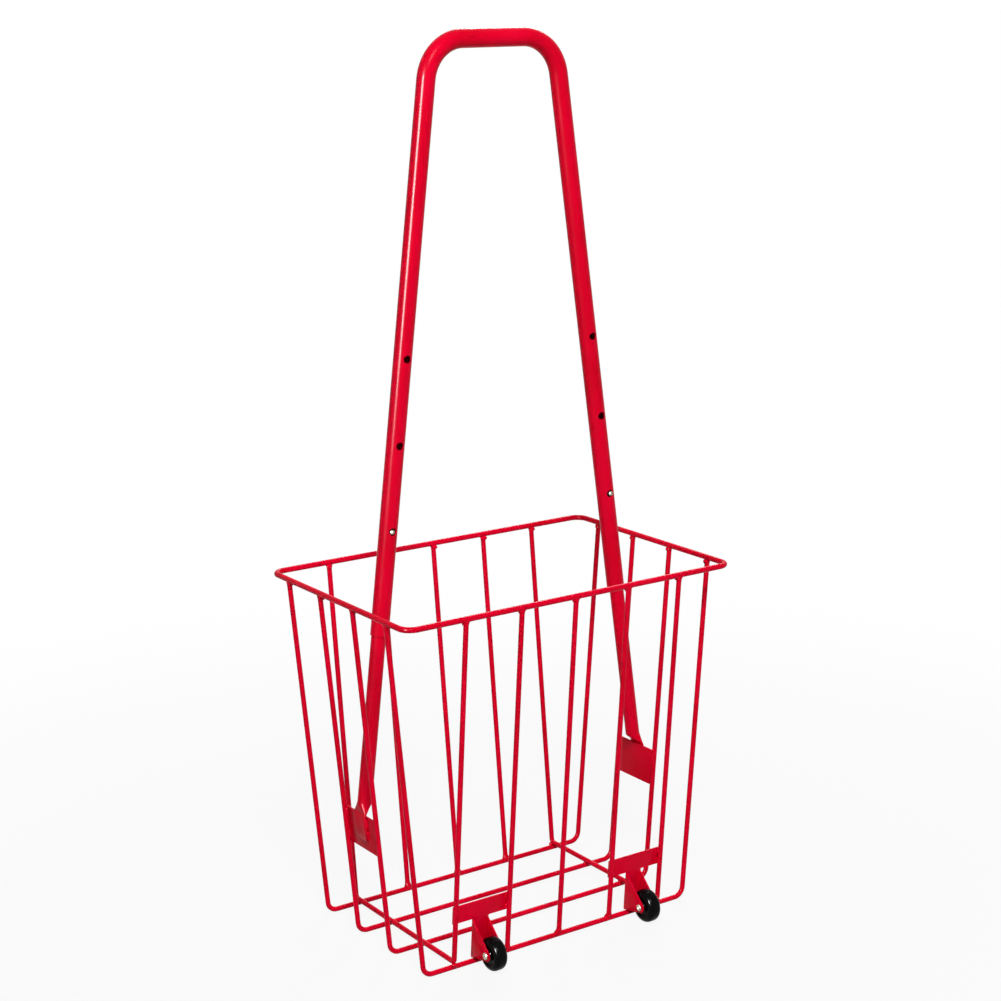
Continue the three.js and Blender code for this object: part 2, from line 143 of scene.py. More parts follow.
class Skin:
    """Points and faces that are gathered into one mesh."""

    def __init__(self):
        self.points = []
        self.faces = []

    def ring(self, points):
        start = len(self.points)
        self.points += [Vector(point) for point in points]
        return list(range(start, len(self.points)))

    def bridge(self, one, two):
        for i in range(len(one)):
            j = (i + 1) % len(one)
            self.faces.append((one[i], one[j], two[j], two[i]))

    def join(self, rings):
        for one, two in zip(rings, rings[1:]):
            self.bridge(one, two)

    def cap(self, ring, faces_back=False):
        self.faces.append(tuple(reversed(ring)) if faces_back else tuple(ring))

    def piece(self, name, material, body, nodes=(), sharp=SHARP_ANGLE):
        mesh = bpy.data.meshes.new(name)
        mesh.from_pydata([tuple(point) for point in self.points], [], self.faces)
        mesh.validate()
        mesh.polygons.foreach_set("use_smooth", [True] * len(mesh.polygons))
        mesh.set_sharp_from_angle(angle=math.radians(sharp))
        mesh.materials.append(material)
        made = bpy.data.objects.new(name, mesh)
        bpy.context.scene.collection.objects.link(made)
        if body:
            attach(made, body)
        if nodes:
            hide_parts(*nodes)
        return made


def fix_normals(made):
    work = bmesh.new()
    work.from_mesh(made.data)
    bmesh.ops.recalc_face_normals(work, faces=work.faces)
    work.to_mesh(made.data)
    work.free()


def circle(centre, tangent, normal, radius, sides):
    """Points round a centre, anticlockwise about the tangent; a pair of radii gives an oval."""
    along, over = radius if isinstance(radius, tuple) else (radius, radius)
    across = tangent.cross(normal)
    made = []
    for i in range(sides):
        angle = 2 * math.pi * i / sides
        made.append(centre + along * math.cos(angle) * normal + over * math.sin(angle) * across)
    return made


def bent_path(corners, radius, steps=BEND_STEPS):
    """(point, tangent) pairs along straight runs, with an arc at each inner corner."""
    path = [(corners[0], (corners[1] - corners[0]).normalized())]
    for before, corner, after in zip(corners, corners[1:], corners[2:]):
        into = (corner - before).normalized()
        out = (after - corner).normalized()
        turn = into.angle(out)
        axis = into.cross(out).normalized()
        start = corner - into * radius * math.tan(turn / 2)
        spoke = into.cross(axis) * radius
        for i in range(steps + 1):
            spin = Matrix.Rotation(turn * i / steps, 3, axis)
            path.append((start - spoke + spin @ spoke, spin @ into))
    path.append((corners[-1], (corners[-1] - corners[-2]).normalized()))
    return path


def sweep(skin, path, normal, radii, sides):
    """A tube along a flat path; radii holds a radius, or a pair for an oval, for each station."""
    rings = []
    for (point, tangent), radius in zip(path, radii):
        rings.append(skin.ring(circle(point, tangent, normal, radius, sides)))
    skin.join(rings)
    return rings


def turned(skin, outline, centre, sides, axis=X_AXIS, normal=Z_AXIS):
    """outline holds (distance along the axis, radius); a radius of 0 closes the piece on its axis."""
    rings = []
    for along, radius in outline:
        middle = centre + axis * along
        if radius == 0:
            rings.append(skin.ring([middle]) * sides)
        else:
            rings.append(skin.ring(circle(middle, axis, normal, radius, sides)))
    for one, two in zip(rings, rings[1:]):
        for i in range(sides):
            j = (i + 1) % sides
            face = [one[i], one[j], two[j], two[i]]
            skin.faces.append(tuple(dict.fromkeys(face)))


def arc_points(centre_along, centre_radius, size, start, end, steps):
    made = []
    for i in range(steps + 1):
        angle = math.radians(start + (end - start) * i / steps)
        made.append((centre_along + size * math.cos(angle), centre_radius + size * math.sin(angle)))
    return made


def in_metres(points):
    return [(a * MM, b * MM) for a, b in points]


# Welds. Each kind of unevenness has a track of its own through the noise: a pace and a start.
# A seed is any number that differs from those of the welds nearby.
BLOB_ROWS = 6
BLOB_SIDES = 12
BLOB_GRAIN = 1.6
BLOB_PACE = (1.7, 0.9, 2.3)
BEAD_SIDES = 10
BEAD_STEP = 0.5 * MM
BEAD_LEAST_STEPS = 6
BEAD_BLUNTNESS = 6
BEAD_END_SHARE = 0.02
BEAD_R = 1.1 * MM
BEAD_TRACK = ((3.1, 0, 0), (0, 0, 0))
RIPPLE_SHARE = 0.1
RIPPLE_LENGTH = 0.42 * MM
WANDER_SHARE = 0.12
WANDER_LENGTH = 3 * MM


def drawn(seed, track, along=0):
    """A repeatable value between about -1 and 1, at a place along a track."""
    pace, (x, y, z) = track
    return noise.noise(Vector([seed * step + start for step, start in zip(pace, (x, y + along, z))]))


def blob(skin, centre, axes, seed, rough):
    """A weld nugget: a rounded lump with an uneven surface. axes are its half sizes as vectors."""
    shift = Vector([seed * pace for pace in BLOB_PACE])
    rings = []
    for row in range(1, BLOB_ROWS):
        lift = math.pi * row / BLOB_ROWS
        ring = []
        for i in range(BLOB_SIDES):
            turn = 2 * math.pi * i / BLOB_SIDES
            unit = (math.sin(lift) * math.cos(turn), math.sin(lift) * math.sin(turn), -math.cos(lift))
            size = 1 + rough * noise.noise(Vector(unit) * BLOB_GRAIN + shift)
            ring.append(centre + size * sum((a * u for a, u in zip(axes, unit)), Vector()))
        rings.append(skin.ring(ring))
    skin.join(rings)
    low = skin.ring([centre - axes[2]])[0]
    high = skin.ring([centre + axes[2]])[0]
    for i in range(BLOB_SIDES):
        j = (i + 1) % BLOB_SIDES
        skin.faces.append((low, rings[0][j], rings[0][i]))
        skin.faces.append((high, rings[-1][i], rings[-1][j]))


def bead(skin, start, end, out, side, radius, seed):
    """A rippled weld bead from start to end, round about its line; out and side are across the line."""
    length = (end - start).length
    run = (end - start).normalized()
    steps = max(BEAD_LEAST_STEPS, round(length / BEAD_STEP))
    rings = []
    for i in range(steps + 1):
        share = i / steps
        taper = math.sqrt(max(BEAD_END_SHARE, 1 - (2 * share - 1) ** BEAD_BLUNTNESS))
        ripple = 1 + RIPPLE_SHARE * math.sin(share * length / RIPPLE_LENGTH + seed)
        wander = WANDER_SHARE * drawn(seed, BEAD_TRACK, share * length / WANDER_LENGTH)
        size = radius * taper * (ripple + wander)
        centre = start + run * length * share
        ring = []
        for k in range(BEAD_SIDES):
            angle = 2 * math.pi * k / BEAD_SIDES
            ring.append(centre + size * (math.cos(angle) * out + math.sin(angle) * side))
        rings.append(skin.ring(ring))
    flip = run.dot(out.cross(side)) < 0
    for one, two in zip(rings, rings[1:]):
        skin.bridge(*((two, one) if flip else (one, two)))
    skin.cap(rings[0], not flip)
    skin.cap(rings[-1], flip)


# Materials. Stops are (place, colour), roughness is a range, and a grain is a bump's depth and strength.
COAT_STOPS = [(0.3, (0.60, 0.0, 0.014)), (0.52, (0.70, 0.0, 0.021)), (0.75, (0.76, 0.001, 0.028))]
COAT_REFLECTION = 0.035
COAT_ROUGHNESS = (0.14, 0.27)
COAT_GRAIN = (0.25 * MM, 0.12)
SCUFF_STOPS = [(0.70, (0, 0, 0)), (0.76, (1, 1, 1))]
SCUFF_COLOUR = (0.82, 0.22, 0.24, 1)
SCUFF_RANGE = (0, 0.45)
# Posts turn near-black above this height: partly steel worn bare by sliding, partly painted shade inside the
# leg, which darkens the ring round each snap button
WORN_STEEL_AND_SHADE = (0.012, 0.008, 0.007, 1)
WORN_AND_SHADED_POST_Z = 330 * MM
WORN_AND_SHADED_BLEND = 8 * MM
BLACK_STOPS = [
    (0.35, (0.0012, 0.0012, 0.0014)),
    (0.66, (0.002, 0.002, 0.0023)),
    (0.82, (0.012, 0.0115, 0.0105)),
]
BLACK_REFLECTION = 0.045
BLACK_ROUGHNESS = (0.1, 0.26)
BLACK_GRAIN = (0.1 * MM, 0.15)
ZINC_STOPS = [(0.3, (0.13, 0.125, 0.085)), (0.5, (0.33, 0.32, 0.24)), (0.75, (0.58, 0.57, 0.47))]
ZINC_ROUGHNESS = (0.22, 0.45)
ZINC_GRAIN = (0.08 * MM, 0.2)


def set_inputs(node, **values):
    for name, value in values.items():
        node.inputs[name.replace("_", " ")].default_value = value


class Paint:
    """A material with its nodes, links, shader and object coordinates."""

    def __init__(self, name):
        self.material = bpy.data.materials.new(name)
        self.material.use_nodes = True
        self.nodes = self.material.node_tree.nodes
        self.links = self.material.node_tree.links
        self.shader = self.nodes["Principled BSDF"]
        self.place = self.nodes.new("ShaderNodeTexCoord").outputs["Object"]

    def clouds(self, scale, detail, roughness=0.5):
        made = self.nodes.new("ShaderNodeTexNoise")
        set_inputs(made, Scale=scale, Detail=detail, Roughness=roughness)
        self.links.new(self.place, made.inputs["Vector"])
        return made.outputs["Fac"]

    def ramp(self, source, stops):
        made = self.nodes.new("ShaderNodeValToRGB")
        elements = made.color_ramp.elements
        while len(elements) < len(stops):
            elements.new(0.5)
        for element, (place, colour) in zip(elements, stops):
            element.position = place
            element.color = (*colour, 1)
        self.links.new(source, made.inputs["Fac"])
        return made.outputs["Color"]

    def mapped(self, source, **ends):
        made = self.nodes.new("ShaderNodeMapRange")
        set_inputs(made, **ends)
        self.links.new(source, made.inputs["Value"])
        return made.outputs["Result"]

    def cover(self, under, colour, share):
        """The colour over what is under it, by a share."""
        mix = self.nodes.new("ShaderNodeMix")
        mix.data_type = "RGBA"
        mix.inputs["B"].default_value = colour
        self.links.new(share, mix.inputs["Factor"])
        self.links.new(under, mix.inputs["A"])
        return mix.outputs["Result"]

    def finish(self, colour, gloss, roughness, height, grain):
        """Joins a colour, a range of roughness and a bump to the shader."""
        low, high = roughness
        depth, strength = grain
        bump = self.nodes.new("ShaderNodeBump")
        set_inputs(bump, Strength=strength, Distance=depth)
        self.links.new(height, bump.inputs["Height"])
        self.links.new(colour, self.shader.inputs["Base Color"])
        self.links.new(self.mapped(gloss, To_Min=low, To_Max=high), self.shader.inputs["Roughness"])
        self.links.new(bump.outputs["Normal"], self.shader.inputs["Normal"])
        return self.material


def powder_coat(name, worn_and_shaded_z=None):
    """Glossy red powder coat with orange peel and scuffed places; above a given height it turns near-black,
    as steel worn bare by sliding and as painted shade inside the leg.
    """
    paint = Paint(name)
    set_inputs(paint.shader, Specular_IOR_Level=COAT_REFLECTION)
    colour = paint.ramp(paint.clouds(scale=14, detail=4), COAT_STOPS)
    scuffed = paint.ramp(paint.clouds(scale=150, detail=6, roughness=0.7), SCUFF_STOPS)
    low, high = SCUFF_RANGE
    coat = paint.cover(colour, SCUFF_COLOUR, paint.mapped(scuffed, To_Min=low, To_Max=high))
    # Painted shade: near-black above a height, for the shade inside the leg, and also for steel worn bare by
    # sliding
    if worn_and_shaded_z:
        split = paint.nodes.new("ShaderNodeSeparateXYZ")
        paint.links.new(paint.place, split.inputs["Vector"])
        worn_and_shaded = paint.mapped(split.outputs["Z"], From_Min=worn_and_shaded_z, From_Max=worn_and_shaded_z + WORN_AND_SHADED_BLEND)
        coat = paint.cover(coat, WORN_STEEL_AND_SHADE, worn_and_shaded)
    gloss = paint.clouds(scale=60, detail=4)
    peel = paint.clouds(scale=700, detail=2)
    return paint.finish(coat, gloss, COAT_ROUGHNESS, peel, COAT_GRAIN)


def moulded_black():
    """Glossy black moulded plastic with uneven gloss and a little dust."""
    paint = Paint("moulded_black")
    set_inputs(paint.shader, Specular_IOR_Level=BLACK_REFLECTION)
    cloud = paint.clouds(scale=160, detail=5, roughness=0.6)
    grain = paint.clouds(scale=1500, detail=3)
    colour = paint.ramp(cloud, BLACK_STOPS)
    return paint.finish(colour, cloud, BLACK_ROUGHNESS, grain, BLACK_GRAIN)


def zinc_plate():
    """Yellowish zinc-plated steel, with soft spangles and dull spots."""
    paint = Paint("zinc_plate")
    set_inputs(paint.shader, Metallic=1)
    cloud = paint.clouds(scale=420, detail=4, roughness=0.6)
    colour = paint.ramp(cloud, ZINC_STOPS)
    return paint.finish(colour, cloud, ZINC_ROUGHNESS, cloud, ZINC_GRAIN)


RED = powder_coat("red_powder_coat")
POST_RED = powder_coat("red_powder_coat_worn_and_shaded", WORN_AND_SHADED_POST_Z)
BLACK = moulded_black()
ZINC = zinc_plate()


# Basket wires.
# The weld's fillet under the rim: depth below the rim wire in mm, then the half sizes along the rim
# and across it in shares of the wire's radius
RIM_WELD = [
    (-1.8, 2, 0.86),
    (-0.5, 1.75, 0.98),
    (0.3, 1.45, 1.04),
    (1, 1.24, 1.04),
    (2.2, 1.08, 1.02),
    (4.5, 1, 1),
]
RIM_WELD_SWELL = 0.22
RIM_WELD_TRACK = ((2.7, 1.3, 0), (0, 0, 0.5))
SECOND_END_SEED = 0.6
# The weld at an upright's foot: height over the long wire's axis, place from that axis (0) to the upright's
# own line (1), then the half sizes along the long wire and across it; sizes are shares of the wire's radius
FOOT_WELD = [
    (3.4, 1, 1, 1),
    (2.5, 1, 1.07, 1.03),
    (1.8, 0.8, 1.24, 1.12),
    (1.35, 0.45, 1.52, 1.25),
    (1, 0.1, 1.86, 1.25),
    (0.45, 0, 1.8, 0.85),
]
FOOT_WELD_SWELL = 0.3
FOOT_WELD_TRACK = ((1.9, 0, 2.1), (0, 0.3, 0))
# Welds where floor wires cross, nuggets at the ends of the floor, and lumps under the rim
CROSSING_HALF = 2.6 * MM
CROSSING_RISE = 1.5 * MM
CROSSING_ROUGH = 0.12
CROSSING_SEED_STEP = 0.37
NUGGET_HALF = 3.2 * MM
NUGGET_RISE = 2.2 * MM
NUGGET_OUT = 2.3 * MM
NUGGET_ROUGH = 0.3
NUGGET_SEED_STEP = 0.53
LUMP_HALF = 3.1 * MM
LUMP_OUT = 1.7 * MM
LUMP_IN = 1.9 * MM
LUMP_RISE = 1.9 * MM
LUMP_WANDER_SHARE = 0.5
LUMP_ROUGH = 0.35
LUMP_SEED_STEP = 0.81
LUMP_TRACK = ((3.3, 0, 0), (0, 0, 0.7))
CROSS_WIRE_SEED = 10
FACE_WIRE_SEED = 20


def make_rim():
    skin = Skin()
    x, y = RIM_HALF_LENGTH, RIM_HALF_WIDTH
    corners = [Vector((sx * x, sy * y, RIM_Z)) for sx, sy in ((-1, -1), (1, -1), (1, 1), (-1, 1))]
    rings = []
    for i, corner in enumerate(corners):
        around = [corners[i - 1], corner, corners[(i + 1) % len(corners)]]
        for point, tangent in bent_path(around, RIM_CORNER_R)[1:-1]:
            rings.append(skin.ring(circle(point, tangent, Z_AXIS, RIM_WIRE_R, RIM_SIDES)))
    skin.join(rings + rings[:1])
    skin.piece("rim_wire_coated", RED, "basket", ["rim_wire"])


def rim_end(point, away, seed):
    """Stations from inside the rim wire, away from it along a wire that ends at a point."""
    top = point - away * (WIRE_TOP_Z - RIM_Z + RIM_WIRE_R) / away.z
    swell = 1 + RIM_WELD_SWELL * drawn(seed, RIM_WELD_TRACK)
    made = []
    for depth, along, over in RIM_WELD:
        wide = 1 + (along - 1) * swell
        made.append((top + away * depth * MM, (WIRE_R * wide, WIRE_R * over)))
    return made


def foot_end(x, sign, seed):
    """Stations down a weld that spreads onto the outer long wire."""
    swell = 1 + FOOT_WELD_SWELL * drawn(seed, FOOT_WELD_TRACK)
    made = []
    for height, place, along, over in FOOT_WELD:
        z = LONG_Z + height * WIRE_R
        y = LONG_YS[3] + (-front_y(z) - LONG_YS[3]) * place
        wide = 1 + (along - 1) * swell
        made.append((Vector((x, sign * y, z)), (WIRE_R * wide, WIRE_R * over)))
    return made


def ends_at_rim(point):
    return point.z > RIM_Z / 2


def wire_stations(corners, bend_radius, seed):
    """(point, tangent) pairs and radii of a wire from an end at the rim to its other end."""
    path = bent_path(corners, bend_radius)
    down = path[0][1]
    head = rim_end(corners[0], down, seed)
    stations = [(point, down) for point, _ in head] + path[1:-1]
    radii = [radius for _, radius in head] + [WIRE_R] * (len(path) - 2)
    last, tangent = path[-1]
    if ends_at_rim(last):
        tail = rim_end(last, -tangent, seed + SECOND_END_SEED)[::-1]
    else:
        tail = foot_end(last.x, math.copysign(1, last.y), seed)
    stations += [(point, tangent) for point, _ in tail]
    return stations, radii + [radius for _, radius in tail]


def rim_lumps(skin, ends, normal, seed):
    """Lumps of weld under the rim, on the inner side of the wires' ends."""
    axes = (normal * LUMP_HALF, Z_AXIS.cross(normal) * LUMP_OUT, Z_AXIS * LUMP_RISE)
    for i, end in enumerate(ends):
        inward = -Vector((end.x, end.y, 0)) + normal * normal.dot(end)
        shift = normal * LUMP_HALF * LUMP_WANDER_SHARE * drawn(seed, LUMP_TRACK, i)
        centre = end + shift + inward.normalized() * LUMP_IN - Z_AXIS * LUMP_RISE / 2
        blob(skin, centre, axes, seed + i * LUMP_SEED_STEP, LUMP_ROUGH)


def make_wire(name, corners, bend_radius, normal, seed, crossings=(), nuggets=()):
    skin = Skin()
    stations, radii = wire_stations(corners, bend_radius, seed)
    rings = sweep(skin, stations, normal, radii, WIRE_SIDES)
    skin.cap(rings[0], True)
    skin.cap(rings[-1])
    axes = (X_AXIS * CROSSING_HALF, Y_AXIS * CROSSING_HALF, Z_AXIS * CROSSING_RISE)
    for i, centre in enumerate(crossings):
        blob(skin, centre, axes, seed + i * CROSSING_SEED_STEP, CROSSING_ROUGH)
    axes = (X_AXIS * NUGGET_HALF, Y_AXIS * CROSSING_HALF, Z_AXIS * NUGGET_RISE)
    for i, centre in enumerate(nuggets):
        blob(skin, centre, axes, seed + i * NUGGET_SEED_STEP, NUGGET_ROUGH)
    rim_lumps(skin, [end for end in (corners[0], corners[-1]) if ends_at_rim(end)], normal, seed)
    made = skin.piece(f"{name}_coated", RED, "basket", [name])
    fix_normals(made)


def make_wires():
    names = ("front", "front_inner", "back_inner", "back")
    for i, (y, name) in enumerate(zip(LONG_YS, names)):
        corners = [
            Vector((-RIM_HALF_LENGTH, y, WIRE_TOP_Z)),
            Vector((-FLOOR_HALF_LENGTH, y, LONG_Z)),
            Vector((FLOOR_HALF_LENGTH, y, LONG_Z)),
            Vector((RIM_HALF_LENGTH, y, WIRE_TOP_Z)),
        ]
        make_wire(f"long_wire_{name}", corners, LONG_BEND_R, Y_AXIS, i)
    weld_z = (LONG_Z + CROSS_Z) / 2
    for side, x in (("left", CROSS_XS[0]), ("right", CROSS_XS[4])):
        corners = [
            Vector((x, -RIM_HALF_WIDTH, WIRE_TOP_Z)),
            Vector((x, -FLOOR_HALF_WIDTH, CROSS_Z)),
            Vector((x, FLOOR_HALF_WIDTH, CROSS_Z)),
            Vector((x, RIM_HALF_WIDTH, WIRE_TOP_Z)),
        ]
        crossings = [Vector((x, y, weld_z)) for y in LONG_YS[1:3]]
        nuggets = [Vector((x, sign * (LONG_YS[3] + NUGGET_OUT), weld_z)) for sign in (-1, 1)]
        seed = CROSS_WIRE_SEED + x
        make_wire(f"cross_wire_{side}", corners, CROSS_BEND_R, X_AXIS, seed, crossings, nuggets)
    for face, sign in (("front", -1), ("back", 1)):
        for place, x in zip(("left", "middle", "right"), CROSS_XS[1:4]):
            top = Vector((x, sign * RIM_HALF_WIDTH, WIRE_TOP_Z))
            foot = Vector((x, -sign * front_y(STAND_Z), STAND_Z))
            make_wire(f"{face}_wire_{place}", [top, foot], 0, X_AXIS, FACE_WIRE_SEED + x + sign)


make_rim()
make_wires()


# Sheet-metal pieces: an outline with rounded edges, thickened along a normal
SHEET_EDGE = 0.35 * MM
SHEET_EDGE_STEP_SHARE = 0.3
LEAST_TURN = 0.3  # keeps the inset of a very sharp corner short
CORNER_STEPS = 4
CORNER_ROOM = 2.2  # an arc takes up at most the side's length over this


def offset_outline(outline, distance):
    """The outline moved inwards by a distance; the points run anticlockwise."""
    made = []
    for i, (x, y) in enumerate(outline):
        before, after = outline[i - 1], outline[(i + 1) % len(outline)]
        first = Vector((x - before[0], y - before[1])).normalized()
        second = Vector((after[0] - x, after[1] - y)).normalized()
        inward = Vector((-first.y - second.y, first.x + second.x))
        scale = distance / max(LEAST_TURN, 1 + first.dot(second))
        made.append((x + inward.x * scale, y + inward.y * scale))
    return made


def rounded_outline(corners, radius):
    """Corners softened by short arcs."""
    made = []
    for i, corner in enumerate(corners):
        point = Vector(corner)
        before, after = Vector(corners[i - 1]), Vector(corners[(i + 1) % len(corners)])
        reach = min(radius, (before - point).length / CORNER_ROOM, (after - point).length / CORNER_ROOM)
        start = point + (before - point).normalized() * reach
        end = point + (after - point).normalized() * reach
        for step in range(CORNER_STEPS + 1):
            share = step / CORNER_STEPS
            made.append(tuple((1 - share) ** 2 * start + 2 * share * (1 - share) * point + share ** 2 * end))
    return made


def fill(skin, ring, faces_back, points):
    """Fills an outline that may be concave with triangles."""
    for face in tessellate_polygon([[Vector((u, v, 0)) for u, v in points]]):
        triangle = [ring[i] for i in face]
        a, b, c = (Vector(points[i]) for i in face)
        turns_left = (b - a).cross(c - a) > 0
        if turns_left == faces_back:
            triangle.reverse()
        skin.faces.append(tuple(triangle))


def plate(skin, outline, place):
    """A closed sheet. outline holds points (u, v); place(u, v, w) puts them in space, w from 0 to SHEET."""
    inner = offset_outline(outline, SHEET_EDGE)
    step = SHEET_EDGE * SHEET_EDGE_STEP_SHARE
    near = offset_outline(outline, step)
    layers = [(inner, 0), (near, step), (outline, SHEET_EDGE)]
    layers += [(points, SHEET - w) for points, w in reversed(layers)]
    rings = [skin.ring([place(u, v, w) for u, v in points]) for points, w in layers]
    skin.join(rings)
    fill(skin, rings[0], True, inner)
    fill(skin, rings[-1], False, inner)


# Post plates
PLATE_CORNER_R = 1.2 * MM
PLATE_SIDE_SHARE = 0.7  # of a wire's radius, from the wire's centre in to the plate's side
PLATE_BEAD_SHARES = ((0.06, 0.3), (0.7, 0.94))


def make_post_plates():
    for side, sign in SIDES:
        skin = Skin()
        up = Vector((sign * SIDE_RISE.x, 0, SIDE_RISE.z))
        inward = Vector((-sign * SIDE_RISE.z, 0, SIDE_RISE.x))
        origin = Vector((sign * side_x(PLATE_Z), 0, PLATE_Z)) + inward * (WIRE_R - SHEET)
        across = up.cross(inward)
        half = LONG_PITCH / 2 - WIRE_R * PLATE_SIDE_SHARE
        height = PLATE_HEIGHT / SIDE_RISE.z
        corners = [(-half, 0), (half, 0), (half, height), (-half, height)]

        def place(u, v, w):
            return origin + across * u + up * v + inward * w

        plate(skin, rounded_outline(corners, PLATE_CORNER_R), place)
        for i, y in enumerate((-LONG_PITCH / 2, LONG_PITCH / 2)):
            u = y * across.y
            inner_side = -math.copysign(1, u)
            for k, shares in enumerate(PLATE_BEAD_SHARES):
                ends = [place(u + inner_side * WIRE_R, height * share, 0) for share in shares]
                bead(skin, *ends, -inward, across * inner_side, BEAD_R, seed=i + 2.3 * k)
        skin.piece(f"post_plate_{side}_coated", RED, "basket", [f"post_plate_{side}"])


make_post_plates()


# Wheel brackets: a T-shaped sheet with two cheeks folded forward
BRACKET_CORNER_R = 1 * MM
CHEEK_BELOW_BAR = 1 * MM
CHEEK_STEPS = 14
BAR_BEAD_SHARES = ((0.08, 0.36), (0.64, 0.92))
BAR_BEAD_PLACE_SHARE = 0.8  # of a wire's radius, from the wire's centre in to the bead
STEM_BEAD_PLACE_SHARE = 0.62
STEM_BEAD_HALF = 2.2 * MM
STEM_BEAD_R = 0.95 * MM


def polygon_area(points):
    pairs = zip(points, points[1:] + points[:1])
    return sum(a[0] * b[1] - a[1] * b[0] for a, b in pairs) / 2


def cheek_outline():
    """(y, z) points of a cheek, anticlockwise: the ends of its fold and the arc round its tip."""
    root = GAP + WIRE_R + SHEET / 2
    foot = Vector((front_y(STAND_Z) + root, STAND_Z))
    top = Vector((front_y(BAR_Z) + root, BAR_Z - CHEEK_BELOW_BAR))
    axle = Vector((AXLE_Y, AXLE_Z))

    def touch(point, side):
        away = point - axle
        turn = side * math.acos(CHEEK_TIP_R / away.length)
        return math.atan2(away.y, away.x) + turn

    start, end = touch(top, 1), touch(foot, -1)
    while end < start:
        end += 2 * math.pi
    arc = []
    for i in range(CHEEK_STEPS + 1):
        angle = start + (end - start) * i / CHEEK_STEPS
        arc.append((axle.x + CHEEK_TIP_R * math.cos(angle), axle.y + CHEEK_TIP_R * math.sin(angle)))
    outline = [tuple(foot), tuple(top)] + arc
    return outline if polygon_area(outline) > 0 else outline[::-1]


def bracket_beads(skin, middle, inward, place, bar, seed):
    """Weld beads up both ends of the bar, and under the stem on the front long wire."""
    low, high = bar
    for i, u in enumerate((-CROSS_PITCH / 2, CROSS_PITCH / 2)):
        inner_side = -math.copysign(1, u)
        for k, shares in enumerate(BAR_BEAD_SHARES):
            heights = [low + (high - low) * share for share in shares]
            reach = u + inner_side * WIRE_R * BAR_BEAD_PLACE_SHARE
            ends = [place(reach, height, SHEET + 2 * GAP) for height in heights]
            bead(skin, *ends, -inward, X_AXIS * inner_side, BEAD_R, seed + i + 1.9 * k)
    foot_y = LONG_YS[0] - WIRE_R / 2
    for k, side in enumerate((-1, 1)):
        x = middle + side * STEM_HALF * STEM_BEAD_PLACE_SHARE
        middle_of_bead = Vector((x, foot_y, STAND_Z - GAP / 2))
        ends = [middle_of_bead + X_AXIS * half for half in (-STEM_BEAD_HALF, STEM_BEAD_HALF)]
        bead(skin, *ends, -Y_AXIS, Z_AXIS, STEM_BEAD_R, seed + 5 + k)


def make_brackets():
    inward = Vector((0, FRONT_RISE.z, -FRONT_RISE.y))
    bar_half = CROSS_PITCH / 2 + WIRE_R / 2
    low, high = ((z - STAND_Z) / FRONT_RISE.z for z in (BAR_Z, BAR_Z + BAR_HEIGHT))
    corners = [
        (-STEM_HALF, 0),
        (STEM_HALF, 0),
        (STEM_HALF, low),
        (bar_half, low),
        (bar_half, high),
        (-bar_half, high),
        (-bar_half, low),
        (-STEM_HALF, low),
    ]
    for side, sign in SIDES:
        skin = Skin()
        middle = sign * WHEEL_X
        origin = Vector((middle, front_y(STAND_Z), STAND_Z)) + inward * (WIRE_R + GAP + SHEET)

        def place(u, v, w):
            return origin + X_AXIS * u + FRONT_RISE * v - inward * w

        plate(skin, rounded_outline(corners, BRACKET_CORNER_R), place)
        for start in (-STEM_HALF, STEM_HALF - SHEET):

            def place_cheek(u, v, w, start=start):
                return Vector((middle + start + w, u, v))

            plate(skin, cheek_outline(), place_cheek)
        bracket_beads(skin, middle, inward, place, (low, high), seed=sign)
        skin.piece(f"wheel_bracket_{side}_coated", RED, "basket", [f"wheel_bracket_{side}"])


make_brackets()


# Wheels and their rivets, turned along X. Their tables are in mm.
WHEEL_SIDES = 64
WHEEL_HUB = [(0.4, 0), (0.1, 0.3), (0, 0.7)]  # (below the side face, out from the bore)
# (below the side face, radius)
WHEEL_FACE = [(0, 4.2), (0.2, 4.5), (0.9, 4.8), (1.1, 5.2), (1.1, 9.2), (0.9, 9.6), (0.2, 10.1)]
WHEEL_SHOULDER_R = 5 * MM
WHEEL_SHOULDER_ARC = (0, 84, 10)  # from and to in degrees, and steps
WHEEL_SEAM = [(0.45, 0.02), (0.2, 0), (0, 0)]  # (half width, below the tread)
WHEEL_SHARP_ANGLE = 50
RIVET_SIDES = 28
RIVET_ROOT = 0.02 * MM
# (height over the end's seat, radius)
RIVET_HEAD = [(0, 3.3), (0.25, 3.5), (0.6, 3.45), (1.1, 3), (1.5, 2.1), (1.75, 1), (1.8, 0)]
RIVET_ROLLED_END = [(0, 3), (0.3, 3.3), (0.9, 3.2), (1.3, 2.7), (1.35, 2.1), (1, 1.5), (0.5, 1.1), (0.35, 0)]


def wheel_outline():
    bore = RIVET_R + GAP
    half = [(WHEEL_HALF - depth, bore + reach) for depth, reach in in_metres(WHEEL_HUB)]
    half += [(WHEEL_HALF - depth, radius) for depth, radius in in_metres(WHEEL_FACE)]
    centre = (WHEEL_HALF - WHEEL_SHOULDER_R, WHEEL_R - WHEEL_SHOULDER_R)
    half += arc_points(*centre, WHEEL_SHOULDER_R, *WHEEL_SHOULDER_ARC)
    half += [(along, WHEEL_R - depth) for along, depth in in_metres(WHEEL_SEAM)]
    other = [(-along, radius) for along, radius in half]
    return other + half[::-1][1:] + [other[0]]


def rivet_end(table):
    seat = STEM_HALF + GAP
    return [(seat - RIVET_ROOT, RIVET_R)] + [(seat + height, radius) for height, radius in in_metres(table)]


